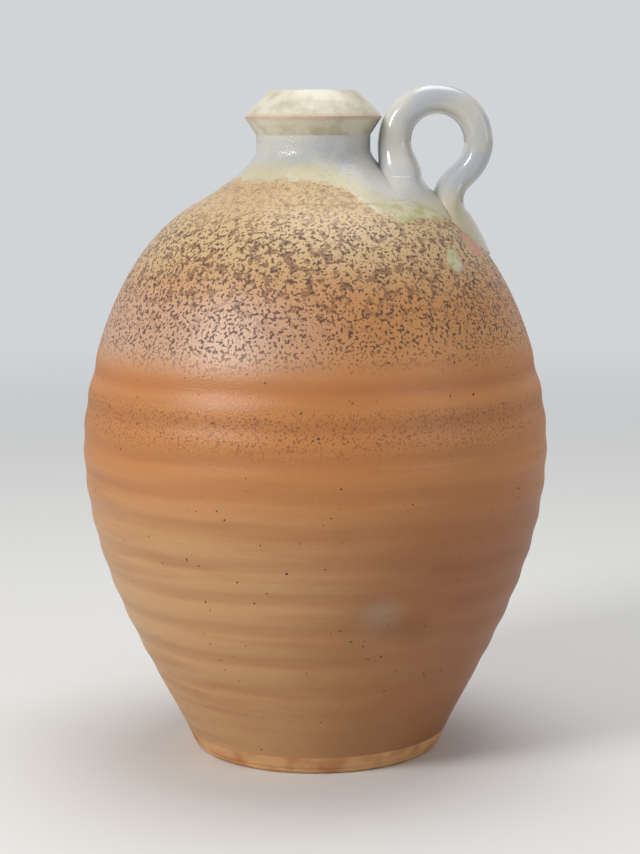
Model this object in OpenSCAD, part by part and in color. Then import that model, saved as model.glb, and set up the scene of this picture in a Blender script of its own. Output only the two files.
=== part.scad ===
// Loop-handled stoneware bottle: thrown ovoid body, bevelled collar, pulled finger loop.
// Millimetres, +Z up, origin at the centre of the foot, the handle towards +X.

/* [Vessel] */
// Height of the rim above the ground
height = 249; // [225:1:280]
// Widest diameter of the body
belly_d = 176; // [160:1:196]
// Height of the widest place
belly_z = 118; // [106:1:130]
// Diameter of the wall's taper where it would reach the ground
foot_d = 95; // [84:1:106]
// Thickness of the thrown wall
wall = 6; // [4.5:0.5:7.5]
// Thickness of the floor slab
floor_t = 7; // [5.5:0.5:9]
// Rounding of the foot's lower edge
foot_round = 2; // [1:0.25:3]

/* [Neck and collar] */
// Diameter of the neck at its narrowest
neck_d = 42.6; // [40:0.2:46]
// Drop from the rim to the seat of the neck on the shoulder
neck_drop = 40.5; // [38:0.5:44]
// Drop from the rim to the seat of the collar on the neck
collar_drop = 16.5; // [14.5:0.5:18]
// Diameter of the collar's ridge
ridge_d = 50.8; // [49:0.2:53]
// Height of the bevel above the ridge
bevel_h = 9.6; // [8:0.2:11]
// Outer diameter of the rim
rim_d = 33; // [31:0.5:37]
// Diameter of the mouth bore
mouth_d = 26; // [22:0.5:28]

/* [Throwing marks] */
// Distance between two throwing rings
ring_pitch = 12.4; // [9:0.2:16]
// Depth of the throwing rings
ring_depth = 0.45; // [0:0.05:1]
// Height of the ring nearest to the widest place
ring_z = 122.6; // [117:0.2:129]
// Height of the deeper groove under the shoulder
groove_z = 145.6; // [140:0.2:152]
// Depth of that groove
groove_depth = 0.8; // [0:0.1:1.4]
// Half width of that groove
groove_w = 4; // [2.5:0.1:5]

/* [Dent] */
// Height of the middle of the dent
dent_z = 63; // [50:1:80]
// Turn of the dent from the front towards the handle
dent_turn = 19; // [0:1:60]
// Depth of the dent
dent_depth = 3; // [1:0.2:4.4]
// Radius of the round form pressed into the wall
dent_ball = 45; // [36:1:70]

/* [Handle] */
// Clear width of the finger opening
finger_w = 20.3; // [18:0.1:24]
// Thickness of the strap at the top of the loop
strap_t = 11.4; // [9.6:0.2:12.4]
// Width of the strap at the top of the loop
strap_w = 22; // [18:0.5:26]
// Height of the loop's top above the rim
loop_rise = 2.5; // [0:0.5:6]
// Gap between the neck and the inner leg of the loop
neck_gap = 2.4; // [2:0.1:3]
// Depth of the thumb groove along the strap
strap_groove = 0.6; // [0:0.1:1.4]
// Width of the tail where it lies on the shoulder
tail_w = 38; // [30:1:42]
// Length of the tail along the shoulder
tail_len = 17; // [13:0.5:20]
// Width that the inner leg flares to in its wad of clay
root_w = 46; // [40:1:50]

/* [Hidden] */
$fn = 96;

function mix(a, b, t) = a + (b - a) * t;
function ease(t) = (1 - cos(180 * t)) / 2;
function clamped(t) = min(1, max(0, t));

// Wall: one power curve runs from the ground up to the widest place, another closes the shoulder
belly_r = belly_d / 2;
foot_r = foot_d / 2;
neck_r = neck_d / 2;
mouth_r = mouth_d / 2;
low_power = 2.01;
low_root = 0.784;
high_power = 1.604;
high_root = 3.004;
// The shoulder curve would close over the axis at this drop below the rim
crown_drop = 33.7;
crown_z = height - crown_drop;
function low_share(z) = pow(1 - pow(clamped((belly_z - z) / belly_z), low_power), 1 / low_root);
function high_share(z) = pow(1 - pow(clamped((z - belly_z) / (crown_z - belly_z)), high_power), 1 / high_root);
// Radius of the wall without its throwing marks
function plain_r(z) = z < belly_z ? mix(foot_r, belly_r, low_share(z)) : belly_r * high_share(z);
// Height of the shoulder at a radius: the upper curve turned round
function shoulder_z(r) = mix(belly_z, crown_z, pow(1 - pow(r / belly_r, high_root), 1 / high_power));

// Throwing rings fade in above the foot and out towards the groove
ring_low_z = 2 * ring_pitch;
function ring_fade(z) = clamped((z - ring_low_z) / ring_pitch) * clamped((groove_z - z) / ring_pitch);
function rings(z) = ring_depth * ring_fade(z) * (1 + cos(360 * (z - ring_z) / ring_pitch)) / 2;
function groove(z) = groove_depth * exp(-pow((z - groove_z) / groove_w, 2));
function wall_r(z) = plain_r(z) - rings(z) - groove(z);

// Point inside the wall: one wall thickness in, square to the plain curve
probe = 0.2;
function rise(z) = [plain_r(z + probe) - plain_r(z - probe), 2 * probe];
function inside(z) = [plain_r(z), z] + wall * [-rise(z)[1], rise(z)[0]] / norm(rise(z));

// Heights at which the clay parts sit on each other
neck_z = height - neck_drop;
collar_z = height - collar_drop;
ridge_z = height - bevel_h;
seat_out = [plain_r(neck_z), neck_z];
seat_in = inside(neck_z);

// Outline of the body, from the floor up to the seat of the neck
wall_steps = 132;
wall_out = concat(
    [for (i = [0 : wall_steps - 1]) let (z = mix(floor_t, neck_z, i / wall_steps)) [wall_r(z), z]],
    [seat_out]);
liner_steps = 40;
corner_r = 12;
corner_z = floor_t + corner_r;
corner_in = inside(corner_z);
wall_in = [for (i = [0 : liner_steps]) inside(mix(corner_z, neck_z, i / liner_steps))];
floor_corner = [for (a = [90 : -15 : 15]) [
    corner_in[0] - corner_r * (1 - cos(a)),
    mix(floor_t, corner_in[1], 1 - sin(a))]];

// Outline of the neck: a flare that eases into a short straight throat
neck_power = 1.5;
neck_straight = 5.5;
neck_steps = 24;
flare_top_z = collar_z - neck_straight;
function neck_out_r(z) = mix(neck_r, seat_out[0], pow((flare_top_z - z) / (flare_top_z - neck_z), neck_power));
neck_out = concat(
    [seat_out],
    [for (i = [1 : neck_steps]) let (z = mix(neck_z, flare_top_z, i / neck_steps)) [neck_out_r(z), z]],
    [[neck_r, collar_z]]);
throat_z = neck_z + 11;
throat_ease = 4;
throat_step = 1.2;

// Outline of the collar: undercut, ridge, slightly bulging bevel, rounded rim
ridge_r = ridge_d / 2;
rim_r = rim_d / 2;
ridge_band = 1.1;
ridge_round = 0.3;
rim_round = 0.7;
bevel_bulge = 0.45;
bevel_foot = [ridge_r, ridge_z];
bevel_top = [rim_r + rim_round / 3, height - rim_round];
bevel_run = bevel_top - bevel_foot;
bevel_out = [bevel_run[1], -bevel_run[0]] / norm(bevel_run);
function bevel_point(t) = bevel_foot + bevel_run * t + bevel_out * bevel_bulge * sin(180 * t);
collar_out = concat(
    [[neck_r, collar_z], [ridge_r - ridge_round, ridge_z - ridge_band], [ridge_r, ridge_z - ridge_band / 2]],
    [for (t = [0 : 0.125 : 1]) bevel_point(t)],
    [[rim_r - rim_round, height]]);

module turned(points) {
    rotate_extrude() polygon(points);
}

// Everything inside the outer surface of body, neck and collar: the handle's parts are cut by it
module skin() {
    turned(concat(
        [[0, floor_t]],
        wall_out,
        [for (i = [1 : neck_steps]) neck_out[i]],
        collar_out,
        [[0, height]]));
}

module dent_form(grow) {
    rotate([0, 0, dent_turn])
        translate([0, -(plain_r(dent_z) - dent_depth + dent_ball), dent_z])
            sphere(r = dent_ball + grow);
}

// Thrown floor slab with the rounded edge that the bottle stands on
module foot() {
    color("wheat") turned(concat(
        [[0, 0]],
        [for (a = [0 : 15 : 90]) [foot_r - foot_round * (1 - sin(a)), foot_round * (1 - cos(a))]],
        [[wall_r(floor_t), floor_t], [0, floor_t]]));
}

// Thrown wall: rings outside, a smooth inside, one dent pushed through both
liner_over = 1;
module body() {
    color("peru") difference() {
        turned(concat([[0, floor_t]], wall_out, [seat_in, [0, seat_in[1]]]));
        difference() {
            turned(concat(
                [[0, floor_t - liner_over], [floor_corner[0][0], floor_t - liner_over]],
                floor_corner,
                wall_in,
                [[0, seat_in[1]]]));
            dent_form(wall);
        }
        dent_form(0);
    }
}

// Concave throat between shoulder and collar
module neck() {
    color("aliceblue") turned(concat(
        neck_out,
        [[mouth_r, collar_z], [mouth_r, throat_z + throat_ease], [mouth_r + throat_step, throat_z], seat_in]));
}

// Bevelled lip with its ridge and the mouth bore
module collar() {
    color("ivory") turned(concat(
        collar_out,
        [[mouth_r + rim_round, height], [mouth_r, height - rim_round], [mouth_r, collar_z]]));
}

// Half thicknesses of the strap along its way
strap_half = strap_t / 2;
leg_half = strap_half + 0.7;
root_half = strap_half + 2.3;
run_half = strap_half - 0.5;
web_half = strap_half + 2.2;
tip_half = 1.2;
run_w = strap_w - 2;

// Middle line: up the leg, over the finger, down the run, turn back onto the shoulder
loop_r = finger_w / 2 + strap_half;
loop_x = neck_r + neck_gap + leg_half + loop_r;
loop_z = height + loop_rise - loop_r - strap_half;
leg_x = loop_x - loop_r;
leg_z = neck_z + 9;
leg_lean = 2.2;
root_drop = 16;
root_z = leg_z - root_drop;
function flare_w(z) = mix(strap_w, root_w, ease((loop_z - z) / (loop_z - root_z)));
turn_end = -45;
back_r = 11.5;
back_end = 43;
foot_sink = 1.4;
foot_in = 3.7;
run_x = loop_x + loop_r * cos(turn_end);
run_z = loop_z + loop_r * sin(turn_end);
back_drop = back_r * (sin(back_end) - sin(turn_end));
run_len = (run_z - back_drop - shoulder_z(run_x - foot_in) + foot_sink) / cos(turn_end);
back_x = run_x + run_len * sin(turn_end) + back_r * cos(turn_end);
back_z = run_z - run_len * cos(turn_end) + back_r * sin(turn_end);
tail_x = back_x - back_r * cos(back_end);
tail_z = back_z - back_r * sin(back_end);

// A station of the strap: place, outward angle, outer and inner half thickness, width,
// how far the section bends round the shoulder, how deep its thumb groove is, how boxy it is
boxy = 0.72;
oval = 1;
leg_steps = 7;
leg = [for (i = [0 : leg_steps - 1])
    let (t = i / leg_steps, z = mix(leg_z, loop_z, t), h = mix(root_half, leg_half, ease(t)))
    [leg_x + leg_lean * (1 - ease(t)), z, 180, h, h, flare_w(z), 0, t, boxy]];
loop_steps = 30;
function loop_half(a) = a > 90
    ? mix(strap_half, leg_half, (a - 90) / 90)
    : mix(strap_half, run_half, (90 - a) / (90 - turn_end));
loop = [for (i = [0 : loop_steps]) let (t = i / loop_steps, a = mix(180, turn_end, t), h = loop_half(a))
    [loop_x + loop_r * cos(a), loop_z + loop_r * sin(a), a, h, h, mix(strap_w, run_w, t), 0, 1, boxy]];
back_steps = 12;
back_widen = 1.1;
back = [for (i = [1 : back_steps]) let (t = i / back_steps, b = mix(turn_end, back_end, t))
    [back_x - back_r * cos(b), back_z - back_r * sin(b), b, mix(run_half, strap_half, t),
        mix(run_half, web_half, t), mix(run_w, tail_w, pow(t, back_widen)), t * t, 1 - t, mix(boxy, oval, t)]];
tail_steps = 9;
tail_thin = 1.4;
tip_share = 0.99;
tail = [for (i = [1 : tail_steps]) let (t = sin(90 * i / tail_steps))
    [tail_x + tail_len * t * sin(back_end), tail_z - tail_len * t * cos(back_end), back_end,
        mix(strap_half, tip_half, pow(t, tail_thin)), web_half, tail_w * sqrt(1 - pow(tip_share * t, 2)), 1, 0, oval]];

// Section of the strap across its way, flatter and grooved on the outer face
section_sides = 28;
groove_share = 0.22;
bend_r = 58;
function signed_power(v, p) = sign(v) * pow(abs(v), p);
function section(st) = [for (k = [0 : section_sides - 1]) let (
        a = 360 * k / section_sides,
        outer = sin(a) > 0,
        w = st[5] / 2 * signed_power(cos(a), st[8]),
        dip = outer ? strap_groove * st[7] * exp(-pow(w / (groove_share * strap_w), 2)) : 0,
        bend = st[6] * w * w / (2 * bend_r),
        n = (outer ? st[3] : st[4]) * signed_power(sin(a), st[8]) - dip - bend)
    [st[0] + n * cos(st[2]), w, st[1] + n * sin(st[2])]];

// Surface over a row of sections with equal numbers of points, closed at both ends
module lofted(sections) {
    sides = len(sections[0]);
    last = len(sections) - 1;
    polyhedron(
        [for (ring = sections) each ring],
        concat(
            [[for (k = [0 : sides - 1]) k]],
            [for (i = [0 : last - 1], k = [0 : sides - 1]) let (a = i * sides + k, b = i * sides + (k + 1) % sides)
                [a, a + sides, b + sides]],
            [for (i = [0 : last - 1], k = [0 : sides - 1]) let (a = i * sides + k, b = i * sides + (k + 1) % sides)
                [a, b + sides, b]],
            [[for (k = [sides - 1 : -1 : 0]) last * sides + k]]));
}

// Plane in which the strap's lower end meets the wad, from the crotch of the loop to the shoulder
crotch = [loop_x - 1.7, loop_z - 17.9];
seam = [9.5, -20];
seam_end = crotch + seam;
seam_top = 12;
module across(points) {
    rotate([90, 0, 0]) linear_extrude(height = 2 * root_w, center = true) polygon(points);
}

// Pulled strap bent to a finger loop, its lower end spread on the shoulder as a tail
module handle() {
    color("whitesmoke") difference() {
        lofted([for (st = concat(leg, loop, back, tail)) section(st)]);
        skin();
        across([crotch, seam_end, [neck_r, seam_end[1]], [neck_r, crotch[1]]]);
    }
}

// Wad of clay smoothed round the inner leg, down onto the shoulder
root_steps = 9;
root_spread = 22;
root_back = 6;
root_power = 1.6;
root = [for (i = [root_steps : -1 : 0])
    let (t = i / root_steps, s = pow(t, root_power), z = mix(leg_z, root_z, t))
    [leg_x + leg_lean, z, 180, root_half + root_back * s, root_half + root_spread * s,
        flare_w(z), 0, 0, mix(boxy, oval, t)]];
module handle_root() {
    color("linen") difference() {
        lofted([for (st = root) section(st)]);
        skin();
        across([crotch + [0, seam_top], crotch, seam_end, [belly_r, seam_end[1]], [belly_r, crotch[1] + seam_top]]);
    }
}

foot();
body();
neck();
collar();
handle();
handle_root();
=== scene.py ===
# %% [markdown]
# A wood-fired stoneware bottle with a pulled finger loop. The packed solids come first: they are the
# fixed frame, and each of the six surfaces made here for the bottle takes the place of one of them.

# %% Load the frame
import bmesh
import bpy
import numpy as np
from math import atan2, radians
from mathutils import Matrix, Vector


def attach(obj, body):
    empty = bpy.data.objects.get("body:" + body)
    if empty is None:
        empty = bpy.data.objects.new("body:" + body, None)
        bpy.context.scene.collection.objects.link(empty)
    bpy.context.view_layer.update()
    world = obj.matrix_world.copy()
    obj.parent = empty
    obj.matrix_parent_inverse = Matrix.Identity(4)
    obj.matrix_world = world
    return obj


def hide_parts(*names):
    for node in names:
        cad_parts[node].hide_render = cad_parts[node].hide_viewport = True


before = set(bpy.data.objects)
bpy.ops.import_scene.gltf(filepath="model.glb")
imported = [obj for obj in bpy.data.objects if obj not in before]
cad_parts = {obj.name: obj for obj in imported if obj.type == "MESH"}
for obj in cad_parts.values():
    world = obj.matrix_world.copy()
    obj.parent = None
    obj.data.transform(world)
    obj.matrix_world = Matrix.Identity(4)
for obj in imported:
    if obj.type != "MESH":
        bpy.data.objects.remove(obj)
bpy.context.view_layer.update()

MM = 0.001

# %% [markdown]
# The camera stands in front of the bottle at about the height of its rim and looks slightly down. A
# Track To constraint could aim it. A matrix was chosen, because its pitch is kept as what was fitted:
# how many pixels the horizon lies above the middle of the frame. Its lens follows from how fast the
# outline shrinks with distance.

# %% Camera
FRAME_PX = 854
FOCAL_PX = 2075
HORIZON_PX = 310
SENSOR = 36
CAMERA_AT = Vector((1.81, -783, 239.1)) * MM
PITCH = atan2(HORIZON_PX, FOCAL_PX)
ROLL = radians(-0.35)
camera = bpy.data.objects.new("camera", bpy.data.cameras.new("camera"))
camera.data.sensor_width = SENSOR
camera.data.lens = FOCAL_PX / FRAME_PX * SENSOR
tilt = Matrix.Rotation(radians(90) - PITCH, 4, "X")
camera.matrix_world = Matrix.Translation(CAMERA_AT) @ tilt @ Matrix.Rotation(ROLL, 4, "Z")
bpy.context.scene.collection.objects.link(camera)
bpy.context.scene.camera = camera
print("lens in mm:", round(camera.data.lens, 2))

# %% [markdown]
# Every piece is a grid of points: one way round the section, the other along it. A modifier for each
# piece could do this too, but one helper turns any such grid into a closed mesh, so that a piece only
# has to say where its points are.

# %% Grid to mesh
def grid_piece(name, points, node, closed_loop, sharp=40):
    """Joins each row of points to the next by quads. A row closes on itself. The last row joins the
    first (closed_loop), or both end rows get a cap. A bend of more than sharp degrees stays sharp."""
    rows, cols = points.shape[:2]
    index = np.arange(rows * cols).reshape(rows, cols)
    next_row = np.roll(index, -1, axis=0) if closed_loop else index[1:]
    this_row = index if closed_loop else index[:-1]
    corners = [this_row, np.roll(this_row, -1, 1), np.roll(next_row, -1, 1), next_row]
    faces = np.stack(corners, -1).reshape(-1, 4).tolist()
    if not closed_loop:
        faces += [index[0][::-1].tolist(), index[-1].tolist()]
    mesh = bpy.data.meshes.new(name)
    mesh.from_pydata((points.reshape(-1, 3) * MM).tolist(), [], faces)
    work = bmesh.new()
    work.from_mesh(mesh)
    bmesh.ops.remove_doubles(work, verts=work.verts, dist=1e-7)
    bmesh.ops.recalc_face_normals(work, faces=work.faces)
    work.to_mesh(mesh)
    work.free()
    mesh.shade_smooth()
    mesh.set_sharp_from_angle(angle=radians(sharp))
    piece = bpy.data.objects.new(name, mesh)
    bpy.context.scene.collection.objects.link(piece)
    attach(piece, "root")
    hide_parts(node)
    print(name, len(mesh.polygons), "faces")
    return piece

# %% [markdown]
# The wall is thrown on a wheel, so it has one radius at each height. A drawn profile with a Screw
# modifier could turn it. A formula was chosen, because the foot, the neck and the handle can ask it
# where the wall is: one power curve climbs to the widest place and another closes the shoulder.

# %% Wall curve
HEIGHT, BELLY_R, BELLY_Z, FOOT_R = 249, 88, 118, 47.5
CROWN_Z, NECK_Z = HEIGHT - 33.7, HEIGHT - 40.5
LOW_POWER, LOW_ROOT, HIGH_POWER, HIGH_ROOT = 2.01, 0.784, 1.604, 3.004


def mix(a, b, t):
    """A straight blend: a, plus the share t of the way to b."""
    return a + (b - a) * t


def plain_r(z):
    """Radius at a height. Below the belly, the share gained since the foot is 1 less the share still to
    climb to LOW_POWER, all to 1 over LOW_ROOT. Above it, the belly's radius is multiplied by 1 less the
    share climbed towards the crown to HIGH_POWER, all to 1 over HIGH_ROOT."""
    low = (1 - np.clip((BELLY_Z - z) / BELLY_Z, 0, 1) ** LOW_POWER) ** (1 / LOW_ROOT)
    high = (1 - np.clip((z - BELLY_Z) / (CROWN_Z - BELLY_Z), 0, 1) ** HIGH_POWER) ** (1 / HIGH_ROOT)
    return np.where(z < BELLY_Z, mix(FOOT_R, BELLY_R, low), BELLY_R * high)


seat_r = float(plain_r(np.array(NECK_Z)))
print("radius at the neck's seat in mm:", round(seat_r, 2))

# %% [markdown]
# Fingers leave soft rings as they draw the clay up. These sway a little round the wall and end at a
# deeper groove, and a soft dent was pushed in while the clay was wet. A bump map could draw them, but
# they show in the outline, so they are taken off the radius itself.

# %% Finger marks
RING_PITCH, RING_Z, RING_DEPTH, RING_SWAY = 12.4, 122.6, 0.45, 0.25
GROOVE_Z, GROOVE_DEPTH, GROOVE_W = 145.6, 0.8, 4
DENT_TURN, DENT_Z, DENT_DEPTH, DENT_W = radians(19), 63, 3, 9


def wall_r(turn, z):
    """The plain radius less three marks: a cosine wave whose phase sways with half the turn's sine and
    fades out at both ends, a bell curve over height, and a bell curve over distance from the dent."""
    fade = np.clip((z - 2 * RING_PITCH) / RING_PITCH, 0, 1) * np.clip((GROOVE_Z - z) / RING_PITCH, 0, 1)
    phase = (z - RING_Z) / RING_PITCH + np.sin(turn / 2) * RING_SWAY
    rings = RING_DEPTH * fade * (1 + np.cos(2 * np.pi * phase)) / 2
    groove = GROOVE_DEPTH * np.exp(-((z - GROOVE_Z) / GROOVE_W) ** 2)
    side = (np.angle(np.exp(1j * (turn - DENT_TURN)))) * plain_r(z)
    dent = DENT_DEPTH * np.exp(-(side ** 2 + (z - DENT_Z) ** 2) / DENT_W ** 2)
    return plain_r(z) - rings - groove - dent


print("deepest mark in mm:", DENT_DEPTH)

# %% [markdown]
# Turning is a lathe's work: each point of an outline goes round the axis. The body's outline climbs
# outside, comes back down inside and closes on itself above the foot. A Solidify modifier could make
# the inner side, but it would carry the finger marks through the wall. So the inner side is a plain
# sideways offset, which grows a little with the height.

# %% Body
FLOOR, WALL, WALL_GAIN = 7, 6, 0.02
OUTER_ROWS, INNER_ROWS = 250, 44


def turned(outline, steps=288, radius=None):
    """Carries rows of (radius, height) round the axis: x is the radius times the sine of the turn and y
    less its cosine, so that turn 0 faces the camera. A radius function may change each radius."""
    turn = np.linspace(0, 2 * np.pi, steps, endpoint=False)[None, :]
    r, z = outline[:, 0][:, None], outline[:, 1][:, None]
    if radius is not None:
        r = radius(turn, r, z)
    return np.stack([r * np.sin(turn), -r * np.cos(turn), z + 0 * turn], -1)


outer_z = np.linspace(FLOOR, NECK_Z, OUTER_ROWS)
inner_z = np.linspace(NECK_Z, FLOOR, INNER_ROWS)
inner_r = plain_r(inner_z) - WALL - WALL_GAIN * (inner_z - FLOOR)
body_outline = np.vstack([
    np.column_stack([plain_r(outer_z), outer_z]),
    np.column_stack([inner_r, inner_z])])
is_outer = np.r_[np.ones(OUTER_ROWS), np.zeros(INNER_ROWS)][:, None] > 0


def marked_outside(turn, r, z):
    """The radius with its finger marks on the outer rows, and the plain one on the inner rows."""
    return np.where(is_outer, wall_r(turn, z), r)


body_points = turned(body_outline, radius=marked_outside)
body = grid_piece("bottle_body", body_points, "body", True)

# %% [markdown]
# The foot is the thrown slab, left bare where it met the kiln shelf. A Bevel modifier could round its
# lower edge. Here the rounding is a quarter circle in the outline, so that its size is exact.

# %% Foot
EDGE_ROUND = 2
corner = np.radians(np.linspace(0, 90, 12))
foot_edge = np.column_stack([FOOT_R - EDGE_ROUND * (1 - np.sin(corner)), EDGE_ROUND * (1 - np.cos(corner))])
side_z = np.linspace(EDGE_ROUND, FLOOR, 8)[1:]
foot_side = np.column_stack([plain_r(side_z), side_z])
foot_outline = np.vstack([[[0, 0]], foot_edge, foot_side, [[0, FLOOR]]])
foot = grid_piece("foot_band", turned(foot_outline), "foot", False)

# %% [markdown]
# The neck is a flare that eases from the shoulder into a short throat. It could be drawn as one curve
# with the body. As a piece of its own it stands for its own solid and can be changed without the wall.
# Its bore opens out below the throat, towards the body's inside.

# %% Neck
NECK_R, MOUTH_R, COLLAR_Z = 21.3, 13, HEIGHT - 16.5
FLARE_DROP, FLARE_POWER = 5.5, 1.5
THROAT_Z, THROAT_EASE, THROAT_STEP = NECK_Z + 11, 4, 1.2
flare_top = COLLAR_Z - FLARE_DROP
flare_z = np.linspace(NECK_Z, flare_top, 48)
flare_r = mix(NECK_R, seat_r, ((flare_top - flare_z) / (flare_top - NECK_Z)) ** FLARE_POWER)
neck_outline = np.vstack([
    np.column_stack([flare_r, flare_z]),
    [[NECK_R, COLLAR_Z], [MOUTH_R, COLLAR_Z]],
    [[MOUTH_R, THROAT_Z + THROAT_EASE], [MOUTH_R + THROAT_STEP, THROAT_Z]],
    [[seat_r - WALL, NECK_Z]]])
neck = grid_piece("neck", turned(neck_outline), "neck", True)

# %% [markdown]
# The collar is an undercut, a sharp ridge and a slightly bulging bevel, with small chamfers at the rim.
# A cylinder with bevels could stand in for it, but the ridge is what the eye reads, so every point of
# its outline is placed by name.

# %% Collar
RIDGE_Z, RIDGE_R, RIDGE_CUT, RIDGE_BAND = HEIGHT - 9.6, 25.4, 0.3, 1.1
RIM_R, RIM_CUT = 16.5, 0.7
BEVEL_BULGE, BEVEL_OUT, BEVEL_TOP = 0.45, np.array([0.715, 0.7]), 0.23
rise = np.linspace(0, 1, 24)
bevel = np.column_stack([mix(RIDGE_R, RIM_R + BEVEL_TOP, rise), mix(RIDGE_Z, HEIGHT - RIM_CUT, rise)])
bevel += BEVEL_BULGE * np.sin(np.pi * rise)[:, None] * BEVEL_OUT
collar_outline = np.vstack([
    [[NECK_R, COLLAR_Z], [RIDGE_R - RIDGE_CUT, RIDGE_Z - RIDGE_BAND]],
    [[RIDGE_R, RIDGE_Z - RIDGE_BAND / 2]], bevel,
    [[RIM_R - RIM_CUT, HEIGHT], [MOUTH_R + RIM_CUT, HEIGHT]],
    [[MOUTH_R, HEIGHT - RIM_CUT], [MOUTH_R, COLLAR_Z]]])
collar = grid_piece("collar", turned(collar_outline), "collar", True, 32)

# %% [markdown]
# The handle was pulled like a strap and bent over a finger: a leg beside the neck, an arc, a straight
# run, a turn back, and a tail pressed flat on the shoulder. Its middle line could be drawn by hand. It
# is worked out instead, from the finger's width, the gap to the neck and the shoulder it lands on.

# %% Loop
STRAP_HALF, FINGER_W, NECK_GAP, LOOP_RISE = 5.7, 20.3, 2.4, 2.5
LEG_HALF = STRAP_HALF + 0.7
LOOP_R = FINGER_W / 2 + STRAP_HALF
LOOP_X = NECK_R + NECK_GAP + LEG_HALF + LOOP_R
LOOP_Z = HEIGHT + LOOP_RISE - LOOP_R - STRAP_HALF
LEG_X, LEG_Z, LEAN = LOOP_X - LOOP_R, NECK_Z + 9, 2.2
TURN_END, BACK_END, BACK_R = radians(-45), radians(43), 11.5
FOOT_IN, FOOT_SINK = 3.7, 1.4


def shoulder_z(r):
    """Height of the shoulder at a radius: the upper power curve solved for its height."""
    return mix(BELLY_Z, CROWN_Z, (1 - (r / BELLY_R) ** HIGH_ROOT) ** (1 / HIGH_POWER))


run_x, run_z = LOOP_X + LOOP_R * np.cos(TURN_END), LOOP_Z + LOOP_R * np.sin(TURN_END)
back_drop = BACK_R * (np.sin(BACK_END) - np.sin(TURN_END))
run_len = (run_z - back_drop - shoulder_z(run_x - FOOT_IN) + FOOT_SINK) / np.cos(TURN_END)
back_x = run_x + run_len * np.sin(TURN_END) + BACK_R * np.cos(TURN_END)
back_z = run_z - run_len * np.cos(TURN_END) + BACK_R * np.sin(TURN_END)
tail_x, tail_z = back_x - BACK_R * np.cos(BACK_END), back_z - BACK_R * np.sin(BACK_END)
print("straight run in mm:", round(float(run_len), 2))

# %% [markdown]
# A curve object with a bevel could be swept along that line, but a real strap changes its thickness,
# width and section on the way. So the line is a table, in which each column is a station and the rows
# are x, z, outward angle, outer and inner half thickness, width, bend, groove and power. A power of 1
# makes the section an oval, and a smaller one makes it boxy.

# %% Strap section
STRAP_W, BEND_R, STRAP_GROOVE, GROOVE_SHARE = 22, 58, 0.6, 0.22
BOXY, OVAL = 0.72, 1


def stations(t, *rows):
    """Each row is a number, or an array along t; stacked, they are the table."""
    return np.stack([row + 0 * t for row in rows])


def section_grid(table, sides=64):
    """Goes round each station: half the width times the cosine to its power, and the half thickness
    times the sine to it. A bell-shaped groove comes off the outer face, and the section bends inwards
    by its sideways distance squared over twice the bend's radius."""
    x, z, out, outer, inner, width, bend, groove, power = table[:, :, None]
    angle = np.linspace(0, 2 * np.pi, sides, endpoint=False)[None, :]
    across, away = np.cos(angle), np.sin(angle)
    w = width / 2 * np.sign(across) * np.abs(across) ** power
    n = np.where(away > 0, outer, inner) * np.sign(away) * np.abs(away) ** power
    dip = STRAP_GROOVE * groove * np.exp(-(w / (GROOVE_SHARE * STRAP_W)) ** 2)
    n = n - np.where(away > 0, dip, 0) - bend * w * w / (2 * BEND_R)
    return np.stack([x + n * np.cos(out), w, z + n * np.sin(out)], -1)


print("strap in mm:", STRAP_W, "wide,", 2 * STRAP_HALF, "thick")

# %% [markdown]
# The leg rises from the wad and narrows as it goes, and the arc carries it round the finger hole. Ease
# is half a cosine wave, which starts and ends level, so that leg and arc meet without a kink.

# %% Leg and arc
ROOT_HALF, ROOT_W, ROOT_DROP = STRAP_HALF + 2.3, 46, 16
RUN_HALF, RUN_W = STRAP_HALF - 0.5, STRAP_W - 2
ROOT_Z = LEG_Z - ROOT_DROP


def ease(t):
    """One less the cosine of half a turn times t, halved."""
    return (1 - np.cos(np.pi * t)) / 2


def flare_w(z):
    """Width of leg and wad at a height: eases from the strap's width to the root's."""
    return mix(STRAP_W, ROOT_W, ease((LOOP_Z - z) / (LOOP_Z - ROOT_Z)))


t = np.linspace(0, 1, 25)[:-1]
leg_zs, leg_half = mix(LEG_Z, LOOP_Z, t), mix(ROOT_HALF, LEG_HALF, ease(t))
leg = stations(t, LEG_X + LEAN * (1 - ease(t)), leg_zs, np.pi, leg_half, leg_half,
               flare_w(leg_zs), 0, t, BOXY)
t = np.linspace(0, 1, 90)
a = mix(np.pi, TURN_END, t)
half = np.where(a > np.pi / 2, mix(STRAP_HALF, LEG_HALF, (a - np.pi / 2) / (np.pi / 2)),
                mix(STRAP_HALF, RUN_HALF, (np.pi / 2 - a) / (np.pi / 2 - TURN_END)))
loop = stations(t, LOOP_X + LOOP_R * np.cos(a), LOOP_Z + LOOP_R * np.sin(a), a, half, half,
                mix(STRAP_W, RUN_W, t), 0, 1, BOXY)
print("leg and arc:", leg.shape[1] + loop.shape[1], "stations")

# %% [markdown]
# The strap turns back and spreads into a tail that was pressed on. The tail's width falls like a
# quarter ellipse, so it ends in a round tip, and its stations crowd towards that tip, where the
# outline turns fastest. The straight run needs none: it is the gap between arc and turn.

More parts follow.
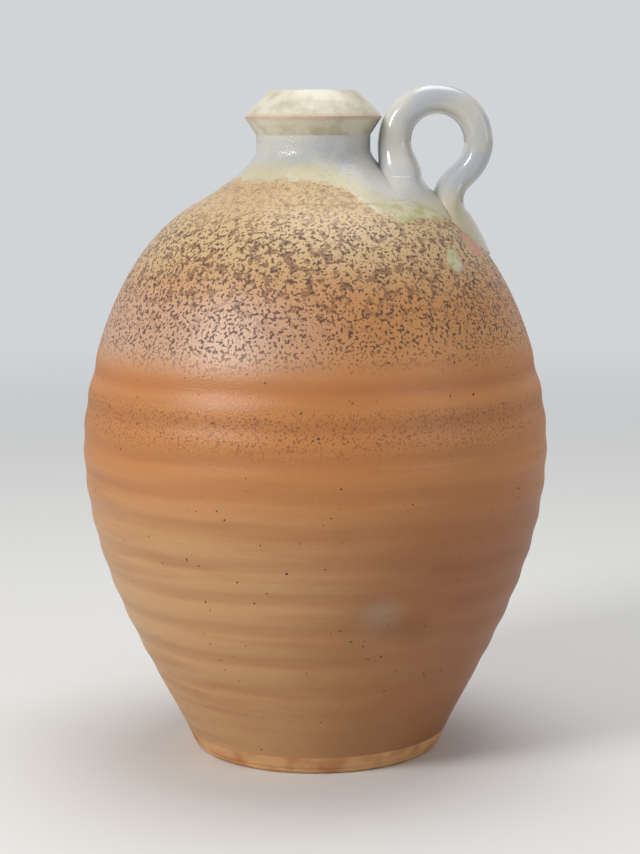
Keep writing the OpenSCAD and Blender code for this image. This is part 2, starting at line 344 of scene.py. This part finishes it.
# %% Turn back and tail
WEB_HALF, TAIL_W, TAIL_LEN, TIP_HALF, TIP_SHARE = STRAP_HALF + 2.2, 38, 17, 1.2, 0.99
SPREAD_POWER, THIN_POWER = 1.1, 1.4
t = np.linspace(0, 1, 37)[1:]
b = mix(TURN_END, BACK_END, t)
back = stations(t, back_x - BACK_R * np.cos(b), back_z - BACK_R * np.sin(b), b,
                mix(RUN_HALF, STRAP_HALF, t), mix(RUN_HALF, WEB_HALF, t),
                mix(RUN_W, TAIL_W, t ** SPREAD_POWER), t * t, 1 - t, mix(BOXY, OVAL, t))
t = np.sin(np.linspace(0, np.pi / 2, 25)[1:])
tail = stations(t, tail_x + TAIL_LEN * t * np.sin(BACK_END), tail_z - TAIL_LEN * t * np.cos(BACK_END),
                BACK_END, mix(STRAP_HALF, TIP_HALF, t ** THIN_POWER), WEB_HALF,
                TAIL_W * np.sqrt(1 - (TIP_SHARE * t) ** 2), 1, 0, OVAL)
handle_points = section_grid(np.hstack([leg, loop, back, tail]))
handle = grid_piece("handle", handle_points, "handle", False, 60)

# %% [markdown]
# A wad of clay lutes the leg to the neck and the shoulder. It could be a lump of its own, but it is
# the same section carried further down and thickened both ways. Below the finger hole it meets the
# tail at a slanting seam, so what would reach further is set back onto a plane just past that seam.

# %% Wad
ROOT_BACK, ROOT_SPREAD, SWELL_POWER = 6, 22, 1.6
SEAM_TOP, SEAM_SLOPE, SEAM_LAP = (LOOP_X - 1.7, LOOP_Z - 17.9), 9.5 / 20, 1
t = np.linspace(1, 0, 28)
root_zs, swell = mix(LEG_Z, ROOT_Z, t), t ** SWELL_POWER
root = stations(t, LEG_X + LEAN, root_zs, np.pi, ROOT_HALF + ROOT_BACK * swell,
                ROOT_HALF + ROOT_SPREAD * swell, flare_w(root_zs), 0, 0, mix(BOXY, OVAL, t))
root_points = section_grid(root)
seam_x = SEAM_TOP[0] + SEAM_SLOPE * (SEAM_TOP[1] - root_points[..., 2]) + SEAM_LAP
root_points[..., 0] = np.minimum(root_points[..., 0], seam_x)
handle_root = grid_piece("handle_root", root_points, "handle_root", False, 60)

# %% [markdown]
# A finish could be wired by hand in the Shader Editor. Written as arithmetic it reads better: this
# small class wraps a socket, so that plus, minus and times add the Math nodes.

# %% Shader arithmetic
class Value:
    """A number that varies over the surface."""

    def __init__(self, maker, socket):
        self.maker, self.socket = maker, socket

    def math(self, operation, *others):
        """Adds one Math node on this number and the others."""
        inputs = {i: v for i, v in enumerate((self, *others))}
        return self.maker.node("ShaderNodeMath", {"operation": operation}, inputs)

    def __add__(self, other):
        return self.math("ADD", other)

    def __sub__(self, other):
        return self.math("SUBTRACT", other)

    def __rsub__(self, other):
        return self.math("MULTIPLY", -1).math("ADD", other)

    def __mul__(self, other):
        return self.math("MULTIPLY", other)

    __radd__, __rmul__ = __add__, __mul__

    def step(self, low, high):
        """0 below low, 1 above high, with soft ends."""
        return self.maker.node("ShaderNodeMapRange", {"interpolation_type": "SMOOTHSTEP"},
                               {"Value": self, "From Min": low, "From Max": high})

    def band(self, rise, fall):
        """Steps up over the first pair of numbers and back down over the second."""
        return self.step(*rise) * (1 - self.step(*fall))


print("a Value has", sum(callable(part) for part in vars(Value).values()), "methods")

# %% [markdown]
# A finish is one material. Its coordinates are the Object ones in millimetres, so a pattern stays on
# the clay from every side and its sizes read as real ones. Noise makes the clouds and flecks, blends
# lay one colour over another, and a Bump node gives the fine relief.

# %% Finishes
class Finish:
    """A material with Object coordinates in millimetres and a Principled shader."""

    def __init__(self, name, **fixed):
        self.material = bpy.data.materials.new(name)
        self.material.use_nodes = True
        self.tree = self.material.node_tree
        self.shader = self.tree.nodes["Principled BSDF"]
        for key, number in fixed.items():
            self.shader.inputs[key.replace("_", " ")].default_value = number
        place = self.node("ShaderNodeTexCoord", {}, {}, "Object")
        self.place = self.node("ShaderNodeVectorMath", {"operation": "SCALE"}, {0: place, "Scale": 1 / MM})
        self.x, self.z = (self.node("ShaderNodeSeparateXYZ", {}, {0: self.place}, axis) for axis in "XZ")

    def node(self, kind, settings, inputs, output=0):
        """Adds a node: its settings first, then the number or link of each socket."""
        made = self.tree.nodes.new(kind)
        for key, setting in settings.items():
            setattr(made, key, setting)
        for key, given in inputs.items():
            if isinstance(given, Value):
                self.tree.links.new(given.socket, made.inputs[key])
            else:
                made.inputs[key].default_value = given
        return Value(self, made.outputs[output])

    def noise(self, size, detail=3, squash=(1, 1, 1)):
        """Cloudy noise whose lumps are about size millimetres across."""
        place = self.node("ShaderNodeVectorMath", {"operation": "MULTIPLY"}, {0: self.place, 1: squash})
        inputs = {"Vector": place, "Scale": 1 / size, "Detail": detail}
        return self.node("ShaderNodeTexNoise", {}, inputs, "Fac")

    def blend(self, a, b, mask):
        """Colour a where the mask is 0, colour b where it is 1."""
        return self.node("ShaderNodeMix", {"data_type": "RGBA"}, {6: a, 7: b, 0: mask}, 2)

    def coats(self, ground, *coats):
        """Blends each colour over those before it, as far as its mask says."""
        for colour, mask in coats:
            ground = self.blend(ground, colour, mask)
        return ground

    def near(self, centre, spread):
        """1 at centre, 0 at a distance of one spread along each axis."""
        away = self.node("ShaderNodeVectorMath", {"operation": "SUBTRACT"}, {0: self.place, 1: centre})
        away = self.node("ShaderNodeVectorMath", {"operation": "DIVIDE"}, {0: away, 1: spread})
        return 1 - self.node("ShaderNodeVectorMath", {"operation": "LENGTH"}, {0: away}, "Value")

    def feed(self, color, roughness, height, depth):
        """Links colour and roughness to the shader, and a relief of depth millimetres through Bump."""
        inputs = {"Height": height, "Distance": depth * MM, "Strength": 1.0}
        bump = self.node("ShaderNodeBump", {}, inputs)
        for key, given in (("Base Color", color), ("Roughness", roughness), ("Normal", bump)):
            self.tree.links.new(given.socket, self.shader.inputs[key])
        print(self.material.name, len(self.tree.nodes), "nodes")
        return self.material


SCREEN_GAMMA = 2.2


def paint(red, green, blue):
    """Screen colour of 0 to 255 as the linear colour that the shader wants: its share of 255 to the
    power of the screen's gamma."""
    return tuple((channel / 255) ** SCREEN_GAMMA for channel in (red, green, blue)) + (1,)

# %% [markdown]
# The wall took its colour from flame and ash. Its ground is tan and turns orange from the belly up. It
# turns darker towards the right, partly its fired colour and partly painted shade for the side turned from
# the light. A painted image could show this, but blends over x, height and cloudy noise need no unwrapping
# and stay sharp. A pair of numbers is where a change starts and where it is complete.

# %% Clay ground
TAN, UMBER_AND_SHADE, ORANGE = paint(186, 142, 96), paint(140, 84, 42), paint(184, 120, 66)
DARK_SIDE, BELLY_RISE = (-25, 90), (80, 125)
clay = Finish("flashed_clay", IOR=1.5)
cloud, streak = clay.noise(34), clay.noise(26, 4, (0.35, 0.35, 5))
# Darker towards the right: partly the fired colour, partly painted shade.
ground = clay.blend(TAN, UMBER_AND_SHADE, (clay.x + 40 * cloud).step(*DARK_SIDE))
ground = clay.blend(ground, ORANGE, clay.z.step(*BELLY_RISE))
print("clay with its ground:", len(clay.tree.nodes), "nodes")

# %% [markdown]
# The hollows between the finger rings get painted shade, so that the rings read, and the groove is a
# darker orange-brown. The shade could be read from the mesh's own relief. A cosine over the height, at
# the rings' pitch, is simpler, but it doesn't sway as the relief does. Thin level streaks break it up.

# %% Painted ring shade and groove tone
RING_SHADE_BROWN, STREAK_BROWN, GROOVE_BROWN = paint(146, 88, 48), paint(156, 98, 56), paint(170, 102, 56)
RINGS_START, RINGS_END, RING_LIFT = (28, 45), (138, 148), 1.2
GROOVE_LIFT, GROOVE_REACH = 1, 5
ring_place = clay.z + 2.5 * cloud - RING_Z - RING_LIFT
# Painted shade: darker in the hollows between the finger rings.
ring_shade = (ring_place * (2 * np.pi / RING_PITCH)).math("COSINE").step(-0.2, 1)
ring_shade = ring_shade * clay.z.step(*RINGS_START) * (1 - clay.z.step(*RINGS_END))
groove = 1 - (clay.z - GROOVE_Z - GROOVE_LIFT).math("ABSOLUTE").step(0, GROOVE_REACH)
ground = clay.coats(
    ground,
    (RING_SHADE_BROWN, ring_shade * 0.26),
    (STREAK_BROWN, streak.step(0.45, 0.75) * 0.5),
    (GROOVE_BROWN, groove * 0.45))
print("clay with its ring and groove tones:", len(clay.tree.nodes), "nodes")

# %% [markdown]
# Above the groove the clay is pink on the left, honey on the right, and straw under the glaze. These
# are wide soft changes, so each is one band over height, shifted by the cloud or held to one side.

# %% Shoulder tones
PINK, HONEY, STRAW = paint(190, 154, 128), paint(188, 132, 78), paint(192, 162, 118)
PINK_START, PINK_END, PINK_SIDE = (146, 160), (170, 190), (-10, 45)
HONEY_START, HONEY_SIDE, STRAW_START = (150, 162), (-20, 50), (178, 204)
pink = clay.z.band(PINK_START, PINK_END) * (1 - (clay.x + 30 * cloud).step(*PINK_SIDE))
honey = clay.z.step(*HONEY_START) * clay.x.step(*HONEY_SIDE)
straw = (clay.z + 14 * cloud).step(*STRAW_START)
ground = clay.coats(ground, (PINK, pink * 0.8), (HONEY, honey * 0.8), (STRAW, straw))
print("clay with its shoulder tones:", len(clay.tree.nodes), "nodes")

# %% [markdown]
# Ash from the kiln landed on the shoulder and melted into dark flecks and blots, with a fine fuzz
# under the groove and a few lone spots. Cutting noise off at a level gives such islands: fine noise
# for flecks, coarse noise with much detail for blots.

# %% Ash
BLOT_BROWN, FLECK_BROWN = paint(112, 74, 50), paint(74, 44, 28)
FUZZ_BROWN, SPOT_BROWN = paint(116, 70, 40), paint(66, 42, 28)
ASH_START, FLECK_THIN, BLOT_START, BLOT_THIN = (151, 166), (196, 210), (158, 182), (196, 208)
FUZZ_START, FUZZ_END = (120, 130), (137, 142)
upper = (clay.z + 6 * clay.noise(20)).step(*ASH_START)
fleck = clay.noise(1.15, 5).step(0.55, 0.585) * upper * (1 - 0.55 * clay.z.step(*FLECK_THIN))
blot = clay.noise(2.9, 8).step(0.525, 0.58) * clay.z.step(*BLOT_START) * (1 - 0.6 * clay.z.step(*BLOT_THIN))
fuzz = clay.noise(0.9, 3).step(0.53, 0.62) * clay.z.step(*FUZZ_START) * (1 - clay.z.step(*FUZZ_END)) * 0.7
spot = clay.noise(2.0, 1).step(0.76, 0.775)
ground = clay.coats(
    ground,
    (BLOT_BROWN, blot * 0.72),
    (FLECK_BROWN, fleck * 0.88),
    (FUZZ_BROWN, fuzz),
    (SPOT_BROWN, spot))
print("clay with its ash:", len(clay.tree.nodes), "nodes")

# %% [markdown]
# The dent is real relief in the mesh, but soft light hardly shows it. It could be made deeper, but then
# the outline would leave its solid. A painted shadow low on its right and a painted highlight at its
# middle help it to read.

# %% Painted dent shadow and highlight
DENT_SHADOW_BROWN, DENT_HIGHLIGHT_GREY = paint(112, 68, 38), paint(160, 140, 120)
DENT_SHADE, SHADE_SPREAD = (31, -71, 60), (17, 30, 10)
DENT_HIGHLIGHT, HIGHLIGHT_SPREAD = (23, -74, 66), (12, 30, 10)
# Painted shadow low on the dent's right, painted highlight at its middle.
painted_shadow = clay.near(DENT_SHADE, SHADE_SPREAD).step(0, 1)
painted_highlight = clay.near(DENT_HIGHLIGHT, HIGHLIGHT_SPREAD).step(0, 1)
ground = clay.coats(ground, (DENT_SHADOW_BROWN, painted_shadow * 0.4), (DENT_HIGHLIGHT_GREY, painted_highlight * 0.5))
print("clay with its dent tones:", len(clay.tree.nodes), "nodes")

# %% [markdown]
# Glaze ran from the neck onto the shoulder: creamy at its edge, olive on the right, milky or
# blue-grey where it is thick. Neck and body wear this one finish, so that the edge crosses from one to
# the other without a seam. It hangs lower on the right, with one drip, and leaves a bare pinkish patch.

# %% Glaze edge and drip
EDGE_CREAM, OLIVE = paint(196, 186, 152), paint(170, 164, 108)
MILK, BLUE_GREY = paint(196, 194, 186), paint(178, 181, 186)
BARE_PINK = paint(196, 140, 112)
EDGE_START, THICK_START, RIGHT_SAG, OLIVE_SIDE = (217.5, 220), (221, 228), (2, 32), (14, 38)
DRIP_AT, DRIP_SPREAD = (50.6, -42.8, 189.5), (5, 8, 9)
BARE_AT, BARE_SPREAD = (58.8, -21.7, 193), (9, 9, 8)
edge = clay.z + 13.5 * clay.x.step(*RIGHT_SAG) + 5 * clay.noise(6, 4)
drip = clay.near(DRIP_AT, DRIP_SPREAD).step(0.15, 0.5)
glaze = edge.step(*EDGE_START).math("MAXIMUM", drip)
olive = clay.x.step(*OLIVE_SIDE) * clay.noise(5).step(0.4, 0.6)
milk = clay.blend(MILK, BLUE_GREY, clay.noise(16, 4).step(0.42, 0.66))
pool = clay.blend(clay.blend(EDGE_CREAM, OLIVE, olive), milk, edge.step(*THICK_START))
bare_patch = clay.near(BARE_AT, BARE_SPREAD).step(0.1, 0.35) * (1 - drip)
ground = clay.coats(ground, (pool, glaze), (BARE_PINK, bare_patch * 0.9))
grit = clay.noise(0.8, 3) + 1.2 * streak + 0.7 * fleck + 1.5 * glaze
clay_rough = 0.42 - 0.28 * glaze + 0.16 * fleck - 0.06 * upper
clay_skin = clay.feed(ground, clay_rough, grit, 0.16)
body.data.materials.append(clay_skin)
neck.data.materials.append(clay_skin)

# %% [markdown]
# The foot band is the same clay without ash or flame: paler, dry and a little gritty. It could share
# the wall's finish with a mask, but two small finishes are easier to change than one large one.

# %% Bare clay
BAND_PALE, BAND_BROWN = paint(206, 158, 108), paint(178, 118, 72)
bare = Finish("bare_clay")
tone = bare.blend(BAND_PALE, BAND_BROWN, bare.noise(12, 4).step(0.4, 0.7))
foot.data.materials.append(bare.feed(tone, 0.62 + 0.15 * bare.noise(3), bare.noise(0.7, 3), 0.2))

# %% [markdown]
# The handle's glaze is glassy: a low roughness under a clear coat. It is white with blue-grey clouds,
# and creamy low down, where it meets the wall's own glaze. Roughness alone could make it shine, but a
# coat keeps its highlights sharp over a softer ground.

# %% White glaze
GLAZE_WHITE, LOW_CREAM, CREAM_END = paint(196, 193, 184), paint(188, 178, 148), (206, 220)
white = Finish("white_glaze", Coat_Weight=0.4, Coat_Roughness=0.04)
high_tone = white.blend(GLAZE_WHITE, BLUE_GREY, white.noise(16, 4).step(0.42, 0.66))
glaze_tone = white.blend(LOW_CREAM, high_tone, (white.z + 6 * white.noise(6)).step(*CREAM_END))
white_skin = white.feed(glaze_tone, 0.12 + 0.1 * white.noise(9), white.noise(7, 3), 0.25)
for piece in (handle, handle_root):
    piece.data.materials.append(white_skin)

# %% [markdown]
# On the collar the glaze is drier and cream, with fine brown specks and a warm line where it drew back
# from the ridge. The line's height comes from the ridge's own, so the two can't drift apart.

# %% Cream glaze
CREAM, CURD = paint(204, 198, 178), paint(184, 174, 150)
SPECK_BROWN, RIDGE_WARM = paint(150, 108, 76), paint(192, 158, 132)
RIDGE_START, RIDGE_END = (RIDGE_Z - 1.8, RIDGE_Z - 0.6), (RIDGE_Z + 0.2, RIDGE_Z + 1.6)
cream = Finish("cream_glaze", Coat_Weight=0.2, Coat_Roughness=0.2)
collar_tone = cream.coats(
    CREAM,
    (CURD, cream.noise(6, 4).step(0.4, 0.7)),
    (SPECK_BROWN, cream.noise(0.8, 2).step(0.66, 0.72) * 0.4),
    (RIDGE_WARM, cream.z.band(RIDGE_START, RIDGE_END) * 0.6))
collar.data.materials.append(cream.feed(collar_tone, 0.3 + 0.2 * cream.noise(5), cream.noise(2.5, 4), 0.25))

# %% [markdown]
# The floor is one wide pale sheet. A curved backdrop could hide its far edge. Instead it fades, for
# camera rays alone, into one even tone away from the bottle, so it keeps the shadow near the foot and
# throws no extra light on the clay.

# %% Floor
STAGE_HALF, STAGE_PALE, FAR_TONE, FADE = 40, (0.72, 0.71, 0.69, 1), (0.64, 0.656, 0.68, 1), (300, 1500)
stage_corners = [(x * STAGE_HALF, y * STAGE_HALF, 0) for x, y in ((-1, -1), (1, -1), (1, 1), (-1, 1))]
stage_mesh = bpy.data.meshes.new("floor")
stage_mesh.from_pydata(stage_corners, [], [(0, 1, 2, 3)])
stage_sheet = bpy.data.objects.new("floor", stage_mesh)
bpy.context.scene.collection.objects.link(stage_sheet)
surface = Finish("floor", Roughness=0.8, Base_Color=STAGE_PALE)
reach = surface.node("ShaderNodeVectorMath", {"operation": "LENGTH"}, {0: surface.place}, "Value")
seen = surface.node("ShaderNodeLightPath", {}, {}, "Is Camera Ray")
far = surface.node("ShaderNodeEmission", {}, {"Color": FAR_TONE}, "Emission")
near_shader = Value(surface, surface.shader.outputs[0])
joined = surface.node("ShaderNodeMixShader", {}, {0: reach.step(*FADE) * seen, 1: near_shader, 2: far})
surface.tree.links.new(joined.socket, surface.tree.nodes["Material Output"].inputs["Surface"])
stage_mesh.materials.append(surface.material)
print("floor:", 2 * STAGE_HALF, "m wide")

# %% [markdown]
# One broad lamp on each side and one above: soft enough to keep the colours as written, and broad
# enough to draw window-like highlights on the glaze. Places and sizes are in metres, power in watts.

# %% Lights
MIDDLE = Vector((0, 0, 0.13))


def soft_light(name, place, size, power):
    """A square lamp that faces the middle of the bottle."""
    lamp = bpy.data.objects.new(name, bpy.data.lights.new(name, "AREA"))
    lamp.data.size, lamp.data.energy = size, power
    aim = MIDDLE - Vector(place)
    lamp.matrix_world = Matrix.Translation(place) @ aim.to_track_quat("-Z", "Y").to_matrix().to_4x4()
    bpy.context.scene.collection.objects.link(lamp)
    print(name, round(aim.length, 2), "m from the bottle")


soft_light("left_window", (-0.95, -0.75, 0.8), 0.45, 12)
soft_light("right_fill", (1.1, -0.7, 0.5), 0.7, 2.5)
soft_light("top", (0.1, 0.2, 1.3), 0.9, 9)

# %% [markdown]
# The world fills the shadows. It looks brighter to the camera and in reflections than it lights the
# clay, so that the wall behind is pale and the glaze has something pale to mirror.

# %% World
FILL_LEVEL, SEEN_LEVEL = 0.38, 0.8
world = bpy.data.worlds.new("studio")
world.use_nodes = True
sky = world.node_tree
backdrop = sky.nodes["Background"]
backdrop.inputs["Color"].default_value = (0.8, 0.82, 0.85, 1)
ray = sky.nodes.new("ShaderNodeLightPath")
either = sky.nodes.new("ShaderNodeMath")
either.operation = "MAXIMUM"
level = sky.nodes.new("ShaderNodeMapRange")
level.inputs["To Min"].default_value = FILL_LEVEL
level.inputs["To Max"].default_value = SEEN_LEVEL
sky.links.new(ray.outputs["Is Camera Ray"], either.inputs[0])
sky.links.new(ray.outputs["Is Glossy Ray"], either.inputs[1])
sky.links.new(either.outputs[0], level.inputs["Value"])
sky.links.new(level.outputs[0], backdrop.inputs["Strength"])
bpy.context.scene.world = world
bpy.context.scene.view_settings.view_transform = "Standard"
print("world level:", FILL_LEVEL, "as light,", SEEN_LEVEL, "as seen")
